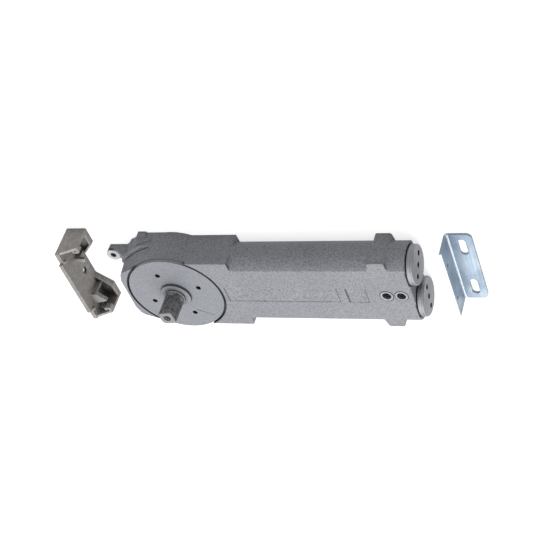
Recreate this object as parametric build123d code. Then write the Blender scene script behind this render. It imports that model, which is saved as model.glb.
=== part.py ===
from build123d import *
import math
import os

# Overhead door closer, concealed in the head of a frame, lying on its flat back.
# The spindle axis is Z, the back is the plane z = 0 and the end caps point to +X.
# All sizes are in millimetres.

# Housing, outside
body_thickness = 34.5
box_half_width = 41.0
box_left = -49.0
box_right = 62.8
box_root = 63.6
body_end = 222.0
head_radius = 45.5
root_half_width = 32.0
band_left = 191.2
band_right = 206.0
band_left_draft = 2.2
band_right_draft = 1.2
band_corner = 1.4
axis_height = body_thickness / 2
bore_spacing = 40.9
bore_offset = bore_spacing / 2
tube_radius = 20.5
end_bevel = 0.8
seam_height = 0.8
seam_stand = 0.35
head_back_corners = ((-5.0, 45.2), (-23.0, 45.2), (-31.6, 44.0), (-35.0, 41.9))
head_back_corners += ((-38.7, 38.7), (-43.2, 36.7), (-47.2, 32.0), (box_left, 31.0))
head_face_corners = ((-5.0, 44.0), (-20.0, 39.1), (-31.7, 34.6), (-35.5, 33.0))
head_face_corners += ((-39.3, 31.3), (-43.1, 29.8), (-46.3, 26.6), (box_left, 19.0))
foot_pad_corners = ((-23.3, 40.0), (-23.3, 45.0), (-23.9, 46.7))
foot_pad_corners += ((-32.0, 46.7), (-35.0, 42.5), (-36.0, 39.0))
foot_pad_height = 4.0
bead_spread = 1.045
bead_height = 2.6
bead_x = -30.0
bead_z = 15.6
bead_tilt = 9.3
bead_end_x = -16.0
bead_start_y = 26.5
bead_limit = ((bead_end_x, 43.1), (-34.0, 43.7), (box_left, 50.0))

# Clearances
thread_gap = 0.05
running_gap = 0.05
seat_gap = 0.02

# Cover disc and its place in the housing
cover_top = body_thickness
cover_radius = 44.9
cover_groove = 1.6
flange_thickness = 3.0
flange_bottom = cover_top - flange_thickness
plug_radius = 42.0
plug_bottom = 27.0
hub_radius = 16.0
hub_bottom = 25.0
cover_pocket_outer = 38.0
cover_pocket_top = 30.0
boss_radius = 14.5
boss_top = 37.2
boss_edge = 0.5
spanner_circle = 27.0
spanner_hole_radius = 2.4
spanner_hole_depth = 3.4
spanner_first_angle = 20.0
cover_o_ring_inset = 0.3
cover_o_ring_width = 1.6
cover_o_ring_outer = cover_radius - cover_o_ring_inset
cover_o_ring_inner = cover_o_ring_outer - cover_o_ring_width
cover_o_ring_height = 1.2
mark_start = (12.3, -21.1)
mark_end = (28.0, -28.9)
mark_width = 0.7
mark_depth = 0.25

# Rack and pinion
tooth_module = 1.25
pinion_teeth = 14
pressure_angle = math.radians(20)
tooth_backlash = 0.14
pitch_radius = tooth_module * pinion_teeth / 2
pinion_tip = pitch_radius + tooth_module
rack_addendum = 0.8 * tooth_module
rack_dedendum = tooth_module + 0.3
pinion_root = pitch_radius - rack_addendum - 0.3
tooth_pitch = math.pi * tooth_module

# Chamber
chamber_radius = 39.5
chamber_floor = 5.0
floor_boss_radius = 13.0
floor_boss_top = 9.5
slot_start = 20.0
slot_inner = 7.0
slot_outer = 18.2
slot_half_height = 7.6

# Spindle, from the bottom up
pocket_floor = 2.5
thrust_washer_thickness = 1.0
spindle_bottom = pocket_floor + thrust_washer_thickness
lower_journal_radius = 7.0
lower_bush_wall = 2.5
pinion_bottom = 10.0
pinion_top = 24.5
upper_journal_radius = 9.5
upper_bush_wall = 2.6
upper_bush_top = 31.5
seal_radius = 11.4
seal_top = 36.9
shoulder_top = 38.8
neck_top = 41.4
neck_radius = 7.2
spindle_tip = 62.4
square_at_root = 14.1
square_at_tip = 13.4
square_turn = 4.0
square_corner_radius = 8.6
tip_chamfer = 0.8
spindle_thread_radius = 3.4
spindle_thread_depth = 16.0

# Pistons in their bores
bore_radius = 14.5
bore_start = 43.0
piston_radius = bore_radius - running_gap
head_start = 60.0
head_length = 26.0
head_end = head_start + head_length
arm_end = -19.0
arm_back = 17.5
arm_half_height = 7.0
arm_trim_radius = 14.2
arm_corner = 2.0
ring_groove_start = 78.0
ring_groove_width = 2.4
ring_groove_radius = 12.6

# Check valve in each piston head
ball_radius = 2.5
ball_seat_hole = 1.5
ball_bore_radius = ball_radius + 0.1
ball_seat_x = 70.0
ball_lift = 1.0
ball_centre_x = ball_seat_x + math.sqrt(ball_radius ** 2 - ball_seat_hole ** 2) + seat_gap
retainer_start = ball_centre_x + ball_radius + ball_lift + 0.1
retainer_length = 3.0
retainer_radius = 3.2
retainer_hole = 1.2

# Springs
wire_radius = 1.9
coil_radius = 11.2
coil_count = 13
washer_thickness = 1.2
washer_radius = 13.6
washer_hole = 7.0

# End caps
cap_radius = 17.6
cap_stand = 6.0
cap_outer_face = body_end + cap_stand
cap_edge_round = 1.6
cap_neck_length = 0.9
cap_neck_end = body_end + cap_neck_length
cap_neck_radius = 16.4
cap_line_offset = 3.8
cap_line_start = body_end + cap_line_offset
cap_line_width = 0.5
cap_line_depth = 0.3
cap_plug_radius = 15.6
cap_plug_length = 7.8
cap_plug_start = body_end - cap_plug_length
cap_ring_setback = 3.2
cap_ring_start = body_end - cap_ring_setback
cap_ring_width = 2.0
cap_ring_inner = 13.9
cap_hole_circle = 9.9
cap_pin_hole_radius = 2.5
cap_pin_hole_depth = 4.0
cap_thread_radius = 2.1
cap_thread_mouth = 2.7
cap_thread_sink = 0.6
cap_thread_depth = 10.0
cap_hole_angles = (126.0, 168.0)
spring_start = head_end
spring_end = cap_plug_start - washer_thickness

# Regulating valves and oil passages
valve_positions = (199.0, 212.0)
valve_radius = 3.5
valve_top = 32.2
valve_thread_bottom = 20.0
valve_seat = 15.0
valve_needle_tip = 13.2
needle_root_radius = 2.6
needle_tip_radius = 0.9
valve_ring_groove_bottom = 22.5
valve_ring_groove_top = 24.3
valve_ring_groove_radius = 2.4
valve_key_width = 3.0
valve_key_depth = 3.0
collar_radius = 5.6
collar_hole = 4.0
collar_length = 3.3
collar_stand = 0.3
collar_relief_radius = 6.3
collar_relief_depth = 0.9
passage_height = 12.0
passage_radius = 2.0
passage_start = 36.0
port_radius = 1.5
port_reach = 8.5
plug_start_setback = 5.5
plug_end_setback = 0.5
plug_start = body_end - plug_start_setback
plug_end = body_end - plug_end_setback
plug_screw_radius = 2.6

# Recessed fields on the face
field_depth = 0.5
field_draft = 0.4
field_half_width = 9.0
field_spans = ((50.0, 155.6), (163.5, 181.7))

# Lug at the head
lug_x = -65.4
lug_y = 22.7
lug_radius = 6.6
lug_hole_radius = 2.8
lug_height = 7.0
lug_left = -67.8
lug_far_side = 30.0
lug_far_height = 8.0
lug_rib_height = 15.2
lug_rib_side = 20.5
lug_face_radius = 7.5
lug_face_depth = 1.6
lug_rib_start = 6.5
lug_rib_run = 9.0
lug_rib_lift = 3.0
lug_web_start = 2.0
lug_web_inset = 0.5
lug_web_foot = 4.0

# Angle bracket of folded sheet
sheet_thickness = 2.3
web_distance = 23.0
web_x = cap_outer_face + web_distance
sheet_half_length = 40.0
web_height = 23.5
foot_reach = 23.0
foot_corner = 5.0
web_hole_radius = 2.75
slot_width = 6.8
slot_length = 18.5
slot_row_offset = 13.5
slot_row_x = web_x + slot_row_offset
slot_spacing = 50.0
bend_radius = 1.2

# Cast bracket
bracket_back = -104.4
bracket_front_high = -84.4
bracket_front_low = -86.6
bracket_centre_y = 6.0
bracket_half_length = 45.9
bracket_wall = 3.8
bracket_height = 35.0
bracket_low_top = 32.0
bracket_raised_half = 33.5
bracket_slope_height = 24.0
bracket_end_wall = 2.6
bracket_flat_depth = 17.4
bracket_foot_height = 5.6
bracket_floor = 1.5
bracket_rim = 1.8
bracket_boss_size = 7.0
bracket_boss_depth = 5.5
bracket_boss_hole = 1.1
bracket_shelf_height = 17.0
bracket_shelf_reach = 14.5
bracket_shelf_offset = 22.5
bracket_shelf_width = 4.0
bracket_shelf_thickness = 3.0
bracket_tongue_top = 22.6
bracket_tongue_thickness = 4.0
bracket_tongue_reach = 17.0
bracket_tongue_front = -15.9
bracket_tongue_step = 5.6
bracket_tongue_drop = 9.0
bracket_tongue_tip = 6.0
bracket_tongue_back = 12.0
bracket_rib_thickness = 2.2
bracket_rib_reach = 8.6
bracket_ledge_bottom = 18.8
bracket_ledge_top = 21.8
bracket_ledge_depth = 2.4
bracket_hole_height = 10.5
bracket_hole_radius = 2.7
bracket_sink_radius = 4.8
bracket_sink_depth = 2.2
bracket_pin_offset = 33.5
bracket_pin_height = 30.0
bracket_pin_radius = 1.6
bracket_pin_length = 2.2


def block(x0, x1, y0, y1, z0, z1):
    """Box between two corners."""
    middle = Pos((x0 + x1) / 2, (y0 + y1) / 2, (z0 + z1) / 2)
    return middle * Box(x1 - x0, y1 - y0, z1 - z0)


def round_x(radius, x0, x1, y, z):
    """Cylinder along X."""
    return Pos((x0 + x1) / 2, y, z) * Rot(0, 90, 0) * Cylinder(radius, x1 - x0)


def round_y(radius, x, y0, y1, z):
    """Cylinder along Y."""
    return Pos(x, (y0 + y1) / 2, z) * Rot(90, 0, 0) * Cylinder(radius, y1 - y0)


def round_z(radius, x, y, z0, z1):
    """Cylinder along Z."""
    return Pos(x, y, (z0 + z1) / 2) * Cylinder(radius, z1 - z0)


def tube_z(outer, inner, x, y, z0, z1):
    """Ring about Z."""
    return round_z(outer, x, y, z0, z1) - round_z(inner, x, y, z0, z1)


def tube_x(outer, inner, x0, x1, y, z):
    """Ring about X."""
    return round_x(outer, x0, x1, y, z) - round_x(inner, x0, x1, y, z)


def prism(points, z0, z1):
    """Upright prism on a flat outline."""
    outline = make_face(Polyline(*points, close=True))
    return Pos(0, 0, z0) * extrude(outline, z1 - z0, dir=(0, 0, 1))


def side_prism(points, y0, y1):
    """Prism along Y on an outline of x and z."""
    outline = make_face(Polyline(*[(x, 0, z) for x, z in points], close=True))
    return Pos(0, y0, 0) * extrude(outline, y1 - y0, dir=(0, 1, 0))


def both_sides(points):
    """Outline made of points at +Y and their mirror images at -Y."""
    return list(points) + [(x, -y) for x, y in reversed(points)]


def head_loft(spread):
    """Left end of the head, wider at the back than at the face, its outline grown by a factor."""
    wires = []
    for height, corners in ((0, head_back_corners), (body_thickness, head_face_corners)):
        points = [(x * spread, y * spread, height) for x, y in both_sides(corners)]
        wires.append(Polyline(*points, close=True).wire())
    return Solid.make_loft(wires, ruled=True)


def head_corner_block():
    """Left end of the head with the slanting bead on its +Y wall."""
    reach = 4 * box_half_width
    slab = Pos(bead_x, 0, bead_z) * Rot(0, bead_tilt, 0) * Box(reach, reach, bead_height)
    window = prism([(box_left, bead_start_y), (bead_end_x, bead_start_y), *bead_limit], 0, body_thickness)
    return head_loft(1) + (head_loft(bead_spread) & slab & window)


def foot_pad():
    """Low pad beside the head's back corner."""
    return prism(foot_pad_corners, 0, foot_pad_height)


def tube_section():
    """Narrow part: two round tubes side by side, cut flat at the face and the back."""
    tubes = block(box_right - 2, body_end, -bore_offset, bore_offset, 0, body_thickness)
    for side in (-1, 1):
        tubes += round_x(tube_radius, box_right - 2, body_end, side * bore_offset, axis_height)
    tube_edge = bore_offset + tube_radius
    tubes = tubes & block(box_right - 2, body_end, -tube_edge, tube_edge, 0, body_thickness)
    end_edges = tubes.faces().sort_by(Axis.X)[-1].edges()
    tubes = chamfer(end_edges, end_bevel)
    seam_middle = body_thickness / 2
    seam_heights = (seam_middle - seam_height / 2, seam_middle + seam_height / 2)
    seam_edge = tube_edge + seam_stand
    for side in (-1, 1):
        low, high = sorted((side * seam_edge, side * (seam_edge - 1)))
        tubes += block(box_right - 2, body_end - 1, low, high, *seam_heights)
    return tubes


def lug():
    """Screw lug on the left wall: ringed pad, wall behind it and a gusset up to the head."""
    foot = block(lug_left, box_left + 1, lug_y, lug_far_side, 0, lug_far_height)
    foot += block(lug_x, box_left + 1, lug_rib_side, lug_far_side, 0, lug_height)
    rib_start = lug_x + lug_rib_start
    rib_end = box_left + lug_rib_run
    rib = [(rib_start, lug_height - 1), (rib_end, lug_height - 1), (rib_end, lug_rib_height + lug_rib_lift)]
    rib += [(box_left, lug_rib_height), (rib_start, lug_height)]
    foot += side_prism(rib, lug_rib_side, lug_far_side)
    face_bottom = lug_height - lug_face_depth
    foot -= round_z(lug_face_radius, lug_x, lug_y, face_bottom, body_thickness)
    web = [(lug_x + lug_web_start, lug_y - lug_radius + lug_web_inset)]
    web += [(box_left + 1, lug_web_foot), (box_left + 1, lug_far_side)]
    web += [(lug_x, lug_far_side)]
    foot += prism(web, 0, face_bottom - 1)
    return foot + round_z(lug_radius, lug_x, lug_y, 0, lug_height)


def recessed_field(x0, x1):
    """Shallow rectangular pocket in the face, its walls drafted for casting."""
    middle = (x0 + x1) / 2
    width = x1 - x0
    across = 2 * field_half_width
    top = Pos(middle, 0, body_thickness + 0.01) * Rectangle(width, across)
    floor = Pos(middle, 0, body_thickness - field_depth)
    floor = floor * Rectangle(width - 2 * field_draft, across - 2 * field_draft)
    return Solid.make_loft([floor.wire(), top.wire()], ruled=True)


def housing():
    """Cast housing with the chamber, both bores, the valve bores and the oil passages."""
    body = round_z(head_radius, 0, 0, 0, body_thickness)
    body += head_corner_block()
    root = [(0, box_half_width), (box_right, box_half_width), (box_root, root_half_width)]
    body += prism(both_sides(root), 0, body_thickness)
    body += tube_section()
    corner_y = box_half_width - band_corner
    band = [(band_left - band_left_draft, root_half_width), (band_left, corner_y)]
    band += [(band_left + band_corner, box_half_width), (band_right - band_corner, box_half_width)]
    band += [(band_right, corner_y), (band_right + band_right_draft, root_half_width)]
    body += prism(both_sides(band), 0, body_thickness)
    body += lug() + foot_pad()
    body -= round_z(chamber_radius, 0, 0, chamber_floor, plug_bottom)
    body -= round_z(plug_radius + thread_gap, 0, 0, plug_bottom, flange_bottom)
    body -= round_z(cover_radius + cover_groove, 0, 0, flange_bottom, body_thickness + 1)
    body -= cover_o_ring()
    body += round_z(floor_boss_radius, 0, 0, chamber_floor - 1, floor_boss_top)
    lower_bush_radius = lower_journal_radius + lower_bush_wall
    body -= round_z(lower_bush_radius, 0, 0, pocket_floor, floor_boss_top + 1)
    for side in (-1, 1):
        y = side * bore_offset
        body -= round_x(bore_radius, bore_start, body_end + 1, y, axis_height)
        body -= round_x(cap_plug_radius + thread_gap, cap_plug_start, body_end + 1, y, axis_height)
        low, high = sorted((side * slot_inner, side * slot_outer))
        heights = (axis_height - slot_half_height, axis_height + slot_half_height)
        body -= block(slot_start, bore_start + 1, low, high, *heights)
    collar_bottom = body_thickness - collar_length + collar_stand
    relief_bottom = body_thickness - collar_relief_depth
    for x in valve_positions:
        body -= round_z(valve_radius + running_gap, x, 0, valve_seat, body_thickness + 1)
        body -= round_z(port_radius, x, 0, passage_height, valve_seat)
        body -= round_z(collar_radius, x, 0, collar_bottom, body_thickness + 1)
        body -= round_z(collar_relief_radius, x, 0, relief_bottom, body_thickness + 1)
        body -= round_y(port_radius, x, -port_reach, port_reach, passage_height)
    body -= round_x(passage_radius, passage_start, plug_start, 0, passage_height)
    body -= round_x(plug_screw_radius + thread_gap, plug_start, body_end + 1, 0, passage_height)
    for x0, x1 in field_spans:
        body -= recessed_field(x0, x1)
    body -= round_z(lug_hole_radius, lug_x, lug_y, -1, lug_height + 1)
    return body


def chamber_cover():
    """Screwed cover disc that carries the upper bush and the seal."""
    cover = round_z(cover_radius, 0, 0, flange_bottom, cover_top)
    cover += round_z(plug_radius, 0, 0, plug_bottom, flange_bottom)
    cover += round_z(boss_radius, 0, 0, cover_top, boss_top)
    top_edges = cover.edges().group_by(Axis.Z)[-1]
    cover = chamfer(top_edges, boss_edge)
    cover -= tube_z(cover_pocket_outer, hub_radius, 0, 0, plug_bottom, cover_pocket_top)
    cover += round_z(hub_radius, 0, 0, hub_bottom, plug_bottom)
    upper_bush_radius = upper_journal_radius + upper_bush_wall
    cover -= round_z(upper_bush_radius, 0, 0, hub_bottom, upper_bush_top)
    cover -= round_z(seal_radius, 0, 0, upper_bush_top, boss_top)
    for step in range(4):
        angle = math.radians(spanner_first_angle + 90 * step)
        x = spanner_circle * math.cos(angle)
        y = spanner_circle * math.sin(angle)
        cover -= round_z(spanner_hole_radius, x, y, cover_top - spanner_hole_depth, cover_top)
    run = (mark_end[0] - mark_start[0], mark_end[1] - mark_start[1])
    middle = ((mark_start[0] + mark_end[0]) / 2, (mark_start[1] + mark_end[1]) / 2, cover_top)
    mark = Box(math.hypot(*run), mark_width, 2 * mark_depth)
    cover -= Pos(*middle) * Rot(0, 0, math.degrees(math.atan2(run[1], run[0]))) * mark
    return cover


def cover_o_ring():
    """Squeezed ring between the cover flange and the housing."""
    bottom = flange_bottom - cover_o_ring_height
    return tube_z(cover_o_ring_outer, cover_o_ring_inner, 0, 0, bottom, flange_bottom)


def involute(angle):
    """Involute function of a pressure angle."""
    return math.tan(angle) - angle


def pinion_outline():
    """Outline of the pinion with a tooth on +Y and a tooth on -Y."""
    base = pitch_radius * math.cos(pressure_angle)
    half_at_pitch = (tooth_pitch / 2 - tooth_backlash) / (2 * pitch_radius)
    flank = [(pinion_root, half_at_pitch + involute(pressure_angle))]
    for step in range(7):
        radius = base + (pinion_tip - base) * step / 6
        local = math.acos(base / radius)
        flank.append((radius, half_at_pitch + involute(pressure_angle) - involute(local)))
    points = []
    for tooth in range(pinion_teeth):
        middle = math.pi / 2 + 2 * math.pi * tooth / pinion_teeth
        sides = [(r, middle - a) for r, a in flank] + [(r, middle + a) for r, a in reversed(flank)]
        points += [(r * math.cos(a), r * math.sin(a)) for r, a in sides]
    return points


def spindle():
    """Spindle with its pinion, two journals and the tapered square end."""
    shaft = round_z(lower_journal_radius, 0, 0, spindle_bottom, pinion_bottom)
    shaft += prism(pinion_outline(), pinion_bottom, pinion_top)
    shaft += round_z(upper_journal_radius, 0, 0, pinion_top, shoulder_top)
    shoulder = shaft.edges().group_by(Axis.Z)[-1]
    shaft = chamfer(shoulder, 0.5)
    neck = Cone(upper_journal_radius - 1, neck_radius, neck_top - shoulder_top)
    shaft += Pos(0, 0, (shoulder_top + neck_top) / 2) * neck
    root = Pos(0, 0, shoulder_top - 1) * Rot(0, 0, square_turn) * Rectangle(square_at_root, square_at_root)
    tip = Pos(0, 0, spindle_tip) * Rot(0, 0, square_turn) * Rectangle(square_at_tip, square_at_tip)
    square = Solid.make_loft([root.wire(), tip.wire()], ruled=True)
    rounding = round_z(square_corner_radius, 0, 0, shoulder_top - 1, spindle_tip)
    rounding = chamfer(rounding.edges().group_by(Axis.Z)[-1], tip_chamfer)
    shaft += square & rounding
    shaft -= round_z(spindle_thread_radius, 0, 0, spindle_tip - spindle_thread_depth, spindle_tip)
    return shaft


def thrust_washer():
    """Washer under the spindle."""
    return round_z(lower_journal_radius, 0, 0, pocket_floor, spindle_bottom)


def lower_bush():
    """Plain bearing in the floor of the chamber."""
    outer = lower_journal_radius + lower_bush_wall
    return tube_z(outer, lower_journal_radius + running_gap, 0, 0, spindle_bottom, floor_boss_top)


def upper_bush():
    """Plain bearing in the cover."""
    outer = upper_journal_radius + upper_bush_wall
    return tube_z(outer, upper_journal_radius + running_gap, 0, 0, hub_bottom, upper_bush_top)


def spindle_seal():
    """Lip seal round the spindle, with the hollow between its lips."""
    inner = upper_journal_radius + running_gap
    ring = tube_z(seal_radius, inner, 0, 0, upper_bush_top, seal_top)
    ring -= tube_z(seal_radius - 0.8, inner + 0.8, 0, 0, upper_bush_top, upper_bush_top + 2.6)
    return ring


def rack_outline():
    """Outline of a rack arm at +Y, with a tooth gap at x = 0."""
    tip_y = pitch_radius - rack_addendum
    root_y = pitch_radius + rack_dedendum
    tip_half = tooth_pitch / 4 - rack_addendum * math.tan(pressure_angle)
    root_half = tooth_pitch / 4 + rack_dedendum * math.tan(pressure_angle)
    points = [(arm_end, root_y)]
    count = int(-arm_end / tooth_pitch)
    for step in range(-count, count):
        middle = (step + 0.5) * tooth_pitch
        points += [(middle - root_half, root_y), (middle - tip_half, tip_y)]
        points += [(middle + tip_half, tip_y), (middle + root_half, root_y)]
    points += [(head_start + 1, root_y), (head_start + 1, arm_back)]
    points += [(arm_end + arm_corner, arm_back), (arm_end, arm_back - arm_corner)]
    return points


def rack_piston(side):
    """Piston head with its rack arm; side is +1 or -1."""
    y = side * bore_offset
    outline = [(x, side * v) for x, v in rack_outline()]
    arm = prism(outline, axis_height - arm_half_height, axis_height + arm_half_height)
    arm = arm & round_x(arm_trim_radius, arm_end - 1, head_start + 1, y, axis_height)
    piston = arm + round_x(piston_radius, head_start, head_end, y, axis_height)
    ring_end = ring_groove_start + ring_groove_width
    piston -= tube_x(bore_radius + 1, ring_groove_radius, ring_groove_start, ring_end, y, axis_height)
    piston -= round_x(ball_seat_hole, head_start - 1, head_end + 1, y, axis_height)
    piston -= round_x(ball_bore_radius, ball_seat_x, head_end + 1, y, axis_height)
    piston -= round_x(retainer_radius, retainer_start, head_end + 1, y, axis_height)
    return piston


def piston_ring(side):
    """Sealing ring in the groove of a piston head."""
    ring_end = ring_groove_start + ring_groove_width
    outer = bore_radius - seat_gap
    return tube_x(outer, ring_groove_radius, ring_groove_start, ring_end, side * bore_offset, axis_height)


def check_ball(side):
    """Ball of the check valve, on its seat."""
    return Pos(ball_centre_x, side * bore_offset, axis_height) * Sphere(ball_radius)


def check_retainer(side):
    """Bored screw that keeps the ball in the piston head."""
    end = retainer_start + retainer_length
    return tube_x(retainer_radius, retainer_hole, retainer_start, end, side * bore_offset, axis_height)


def closing_spring(side):
    """Round-wire compression spring with its ends ground flat."""
    length = spring_end - spring_start
    path = Helix(pitch=length / coil_count, height=length, radius=coil_radius)
    profile = Plane(origin=path @ 0, z_dir=path % 0) * Circle(wire_radius)
    coil = sweep(profile, path=path)
    coil = Pos(spring_start, side * bore_offset, axis_height) * Rot(0, 90, 0) * coil
    reach = coil_radius + 2 * wire_radius
    y = side * bore_offset
    return coil & round_x(reach, spring_start, spring_end, y, axis_height)


def spring_washers():
    """Hardened washers between the springs and the end caps."""
    rings = []
    for y in (-bore_offset, bore_offset):
        rings.append(tube_x(washer_radius, washer_hole, spring_end, cap_plug_start, y, axis_height))
    return Compound(children=rings)


def end_cap(side, hole_angle):
    """Screwed end cap with a threaded centre hole and two spanner holes."""
    y = side * bore_offset
    cap = round_x(cap_radius, cap_neck_end, cap_outer_face, y, axis_height)
    cap = fillet(cap.edges().group_by(Axis.X)[-1], cap_edge_round)
    line_end = cap_line_start + cap_line_width
    cap -= tube_x(cap_radius + 1, cap_radius - cap_line_depth, cap_line_start, line_end, y, axis_height)
    cap += round_x(cap_neck_radius, body_end, cap_neck_end, y, axis_height)
    cap += round_x(cap_plug_radius, cap_plug_start, body_end, y, axis_height)
    ring_end = cap_ring_start + cap_ring_width
    cap -= tube_x(cap_plug_radius + 1, cap_ring_inner, cap_ring_start, ring_end, y, axis_height)
    past_face = cap_outer_face + 1
    cap -= round_x(cap_thread_radius, cap_outer_face - cap_thread_depth, past_face, y, axis_height)
    mouth = Cone(cap_thread_radius, cap_thread_mouth, cap_thread_sink)
    cap -= Pos(cap_outer_face - cap_thread_sink / 2, y, axis_height) * Rot(0, 90, 0) * mouth
    for turn in (0, math.pi):
        angle = math.radians(hole_angle) + turn
        hole_y = y + cap_hole_circle * math.cos(angle)
        hole_z = axis_height + cap_hole_circle * math.sin(angle)
        pin_end = cap_outer_face - cap_pin_hole_depth
        cap -= round_x(cap_pin_hole_radius, pin_end, past_face, hole_y, hole_z)
    return cap


def cap_o_rings():
    """Rings that seal the end caps in the housing."""
    ring_end = cap_ring_start + cap_ring_width
    rings = []
    for y in (-bore_offset, bore_offset):
        rings.append(tube_x(cap_plug_radius, cap_ring_inner, cap_ring_start, ring_end, y, axis_height))
    return Compound(children=rings)


def valve_screw(x):
    """Regulating screw with a hexagon socket and a needle."""
    screw = round_z(valve_radius, x, 0, valve_thread_bottom, valve_top)
    height = valve_thread_bottom - valve_needle_tip
    needle = Cone(needle_tip_radius, needle_root_radius, height)
    screw += Pos(x, 0, valve_needle_tip + height / 2) * needle
    groove = (valve_ring_groove_bottom, valve_ring_groove_top)
    screw -= tube_z(valve_radius + 1, valve_ring_groove_radius, x, 0, *groove)
    key = extrude(RegularPolygon(valve_key_width / math.sqrt(3), 6), valve_key_depth)
    screw -= Pos(x, 0, valve_top - valve_key_depth) * key
    return screw


def valve_o_ring(x):
    """Ring that seals a regulating screw."""
    outer = valve_radius + running_gap - seat_gap
    return tube_z(outer, valve_ring_groove_radius, x, 0, valve_ring_groove_bottom, valve_ring_groove_top)


def valve_collars():
    """Collars pressed in over the regulating screws."""
    bottom = body_thickness - collar_length + collar_stand
    top = body_thickness + collar_stand
    rings = [tube_z(collar_radius, collar_hole, x, 0, bottom, top) for x in valve_positions]
    return Compound(children=rings)


def passage_plug():
    """Screw plug that closes the long oil passage."""
    plug = round_x(plug_screw_radius, plug_start, plug_end, 0, passage_height)
    socket = Rot(0, 90, 0) * extrude(RegularPolygon(1.5, 6), 3)
    plug -= Pos(plug_end - 2, 0, passage_height) * socket
    return plug


def angle_bracket():
    """Folded sheet bracket with two screw holes and two slots."""
    web_end = web_x + sheet_thickness
    foot_end = web_x + foot_reach
    bracket = block(web_x, web_end, -sheet_half_length, sheet_half_length, 0, web_height)
    bracket += block(web_x, foot_end, -sheet_half_length, sheet_half_length, 0, sheet_thickness)
    outer_fold = bracket.edges().filter_by(Axis.Y).sort_by_distance((web_x, 0, 0))[0]
    bracket = fillet([outer_fold], bend_radius + sheet_thickness - 0.1)
    inner_fold = bracket.edges().filter_by(Axis.Y).sort_by_distance((web_end, 0, sheet_thickness))[0]
    bracket = fillet([inner_fold], bend_radius)
    corners = bracket.edges().filter_by(Axis.Z).sort_by(Axis.X)[-2:]
    bracket = fillet(corners, foot_corner)
    for side in (-1, 1):
        bracket -= round_x(web_hole_radius, web_x - 1, web_end + 1, side * bore_offset, axis_height)
        slot = extrude(SlotOverall(slot_length, slot_width, rotation=90), 2 * sheet_thickness)
        bracket -= Pos(slot_row_x, side * slot_spacing / 2, -sheet_thickness / 2) * slot
    return bracket


def bracket_across(side, offset):
    """Place along Y at a distance from the bracket's middle."""
    return bracket_centre_y + side * offset


def bracket_front(side):
    """Front face of the end at +Y or -Y."""
    return bracket_front_high if side > 0 else bracket_front_low


def bracket_foot(side):
    """Shallow tray at one end: floor, rim and end wall."""
    inner_back = bracket_back + bracket_wall
    front = bracket_front(side)
    end = bracket_half_length
    flat = end - bracket_flat_depth
    reach = front - inner_back
    outer = [(bracket_back, end), (front, end), (front, flat), (inner_back, flat - reach)]
    outer += [(bracket_back, flat - reach)]
    tray = prism([(x, bracket_across(side, v)) for x, v in outer], 0, bracket_foot_height)
    rim_front = front - bracket_rim
    rim_flat = flat + bracket_rim * math.tan(math.pi / 8)
    rim_reach = rim_front - inner_back
    inner = [(inner_back, end - bracket_end_wall), (rim_front, end - bracket_end_wall)]
    inner += [(rim_front, rim_flat), (inner_back, rim_flat - rim_reach)]
    hollow = [(x, bracket_across(side, v)) for x, v in inner]
    tray -= prism(hollow, bracket_floor, bracket_foot_height + 1)
    low, high = sorted((bracket_across(side, end), bracket_across(side, end - bracket_end_wall)))
    wall = [(bracket_back, 0), (front, 0), (front, bracket_slope_height), (bracket_back, bracket_low_top)]
    return tray + side_prism(wall, low, high)


def bracket_end(side):
    """One end of the cast bracket: tray, screw boss, pin and what stands on the floor."""
    inner_back = bracket_back + bracket_wall
    front = bracket_front(side)
    end = bracket_half_length
    piece = bracket_foot(side)
    low, high = sorted((bracket_across(side, end), bracket_across(side, end - bracket_boss_size)))
    boss_bottom = bracket_slope_height - bracket_boss_depth
    boss = block(front - bracket_boss_size, front, low, high, boss_bottom, bracket_slope_height + 0.6)
    boss = fillet(boss.edges().filter_by(Axis.Z), 1.5)
    piece += boss
    hole_x = front - bracket_boss_size / 2
    hole_y = bracket_across(side, end - bracket_boss_size / 2)
    piece -= round_z(bracket_boss_hole, hole_x, hole_y, boss_bottom - 1, bracket_slope_height + 2)
    pin_y = bracket_across(side, bracket_pin_offset)
    pin_end = inner_back + bracket_pin_length
    pin = round_x(bracket_pin_radius, inner_back - 1, pin_end, pin_y, bracket_pin_height)
    return piece + pin


def bracket_shelf():
    """Shelf on a stub near the +Y end of the cast bracket."""
    shelf_high = bracket_across(1, bracket_shelf_offset)
    shelf_low = shelf_high - bracket_shelf_width
    shelf_end = bracket_back + bracket_shelf_reach
    shelf_bottom = bracket_shelf_height - bracket_shelf_thickness
    shelf = block(bracket_back + 1, shelf_end, shelf_low, shelf_high, shelf_bottom, bracket_shelf_height)
    stub_end = bracket_back + bracket_wall + 5
    return shelf + block(bracket_back + 1, stub_end, shelf_low, shelf_high, 0, bracket_shelf_height)


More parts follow.
